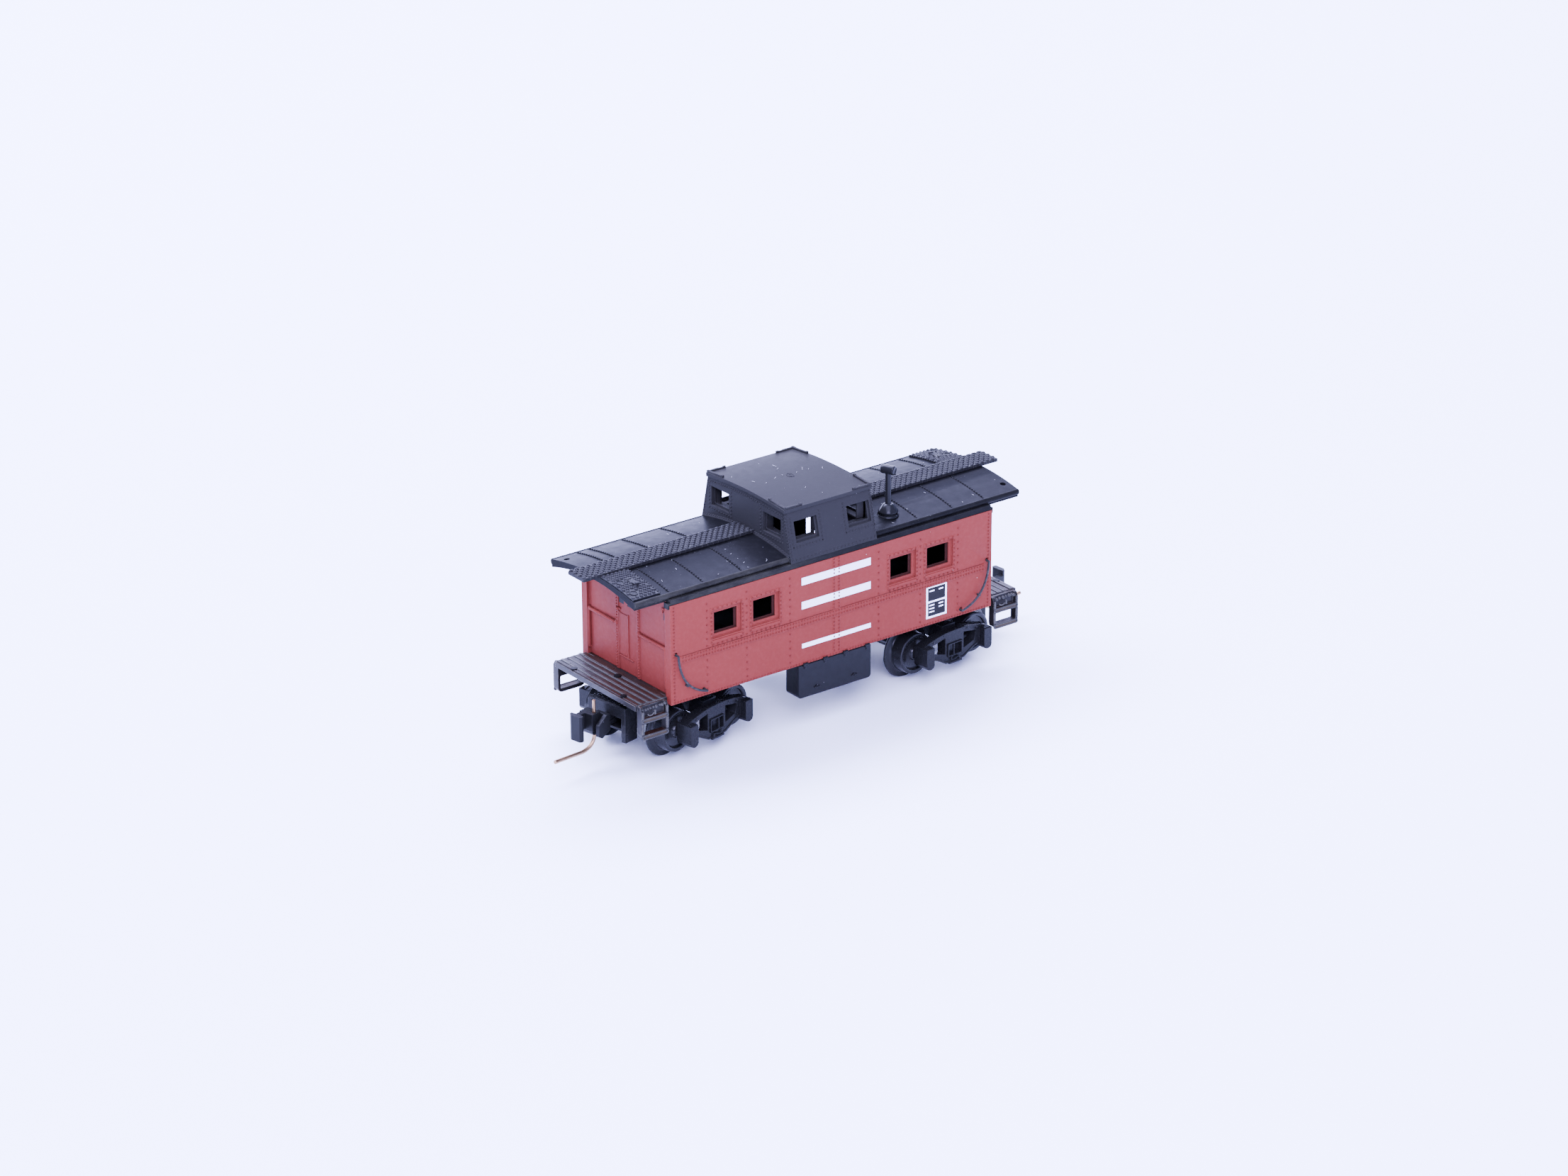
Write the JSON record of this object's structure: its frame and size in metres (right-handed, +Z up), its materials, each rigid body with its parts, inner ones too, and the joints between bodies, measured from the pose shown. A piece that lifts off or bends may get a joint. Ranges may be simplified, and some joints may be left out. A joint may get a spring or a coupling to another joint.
{
  "type": "model railway caboose",
  "caption": "Small-scale model caboose: rib-and-rivet body on sprung-coupler swivel trucks, arched roof, cupola, walkways, end steps and free-rolling wheels.",
  "frame": {"origin": "on the ground under the middle of the car, at the bottom of the wheel flanges", "axes": "+X along the car towards the end whose truck is turned least, +Y across it, away from the side where the smoke jack stands, +Z up"},
  "size_m": [0.056, 0.0148, 0.0216],
  "materials": {
    "underframe": "satin dark grey with worn edges",
    "weight": "plain plated steel",
    "toolbox": "satin black",
    "body_shell": "flat oxide red, dusty",
    "handrail": "thin grey paint",
    "roof": "satin blue-black, dusty",
    "running_board": "satin blue-black, worn tips",
    "cupola": "satin blue-black, dusty",
    "smoke_jack": "satin black",
    "truck_frame": "satin black moulding",
    "kingpin": "plain steel",
    "wheelset": "satin black",
    "coupler": "satin black moulding",
    "spring": "bright wire",
    "trip_pin": "bare copper-coloured wire"
  },
  "bodies": {
    "car": {"underframe": "underframe", "weight": "weight", "toolbox_front": "toolbox", "toolbox_back": "toolbox", "body_shell": "body_shell", "roof": "roof", "running_board_left": "running_board", "running_board_right": "running_board", "cupola": "cupola", "smoke_jack": "smoke_jack", "handrail_left_front": "handrail", "handrail_left_back": "handrail", "handrail_right_front": "handrail", "handrail_right_back": "handrail", "left_kingpin": "kingpin", "right_kingpin": "kingpin"},
    "left_truck": {"left_truck_frame": "truck_frame", "left_coupler_lid": "coupler", "left_coupler_spring": "spring"},
    "left_outer_wheels": {"left_outer_wheelset": "wheelset"},
    "left_inner_wheels": {"left_inner_wheelset": "wheelset"},
    "left_guard": {"left_coupler_guard_half": "coupler"},
    "left_knuckle": {"left_coupler_knuckle_half": "coupler", "left_trip_pin": "trip_pin"},
    "right_truck": {"right_truck_frame": "truck_frame", "right_coupler_lid": "coupler", "right_coupler_spring": "spring"},
    "right_outer_wheels": {"right_outer_wheelset": "wheelset"},
    "right_inner_wheels": {"right_inner_wheelset": "wheelset"},
    "right_guard": {"right_coupler_guard_half": "coupler"},
    "right_knuckle": {"right_coupler_knuckle_half": "coupler", "right_trip_pin": "trip_pin"}
  },
  "joints": [
    {"name": "left_truck_swivel", "type": "hinge", "parent": "car", "child": "left_truck", "pos_m": [-0.01382, 0, 0.0045], "axis": [0, 0, 1], "range_deg": [-25.5, 1.1]},
    {"name": "left_outer_wheels_roll", "type": "hinge", "parent": "left_truck", "child": "left_outer_wheels", "pos_m": [-0.01737, -0.00077, 0.00263], "axis": [0.2113, -0.9774, 0], "continuous": true},
    {"name": "left_inner_wheels_roll", "type": "hinge", "parent": "left_truck", "child": "left_inner_wheels", "pos_m": [-0.01027, 0.00077, 0.00263], "axis": [0.2113, -0.9774, 0], "continuous": true},
    {"name": "left_coupler_swing", "type": "hinge", "parent": "left_truck", "child": "left_guard", "pos_m": [-0.01968, -0.00127, 0.00384], "axis": [0, 0, 1], "range_deg": [-8, 8], "stiffness_Nm_per_rad": 0.00002},
    {"name": "left_knuckle_opening", "type": "hinge", "parent": "left_guard", "child": "left_knuckle", "pos_m": [-0.01968, -0.00127, 0.00384], "axis": [0, 0, -1], "range_deg": [0, 7], "stiffness_Nm_per_rad": 0.00001},
    {"name": "right_truck_swivel", "type": "hinge", "parent": "car", "child": "right_truck", "pos_m": [0.01382, 0, 0.0045], "axis": [0, 0, 1], "range_deg": [-18.5, 8.1]},
    {"name": "right_outer_wheels_roll", "type": "hinge", "parent": "right_truck", "child": "right_outer_wheels", "pos_m": [0.01744, 0.00033, 0.00263], "axis": [-0.0906, 0.9959, 0], "continuous": true},
    {"name": "right_inner_wheels_roll", "type": "hinge", "parent": "right_truck", "child": "right_inner_wheels", "pos_m": [0.0102, -0.00033, 0.00263], "axis": [-0.0906, 0.9959, 0], "continuous": true},
    {"name": "right_coupler_swing", "type": "hinge", "parent": "right_truck", "child": "right_guard", "pos_m": [0.0198, 0.00054, 0.00384], "axis": [0, 0, 1], "range_deg": [-8, 8], "stiffness_Nm_per_rad": 0.00002},
    {"name": "right_knuckle_opening", "type": "hinge", "parent": "right_guard", "child": "right_knuckle", "pos_m": [0.0198, 0.00054, 0.00384], "axis": [0, 0, -1], "range_deg": [0, 7], "stiffness_Nm_per_rad": 0.00001}
  ]
}
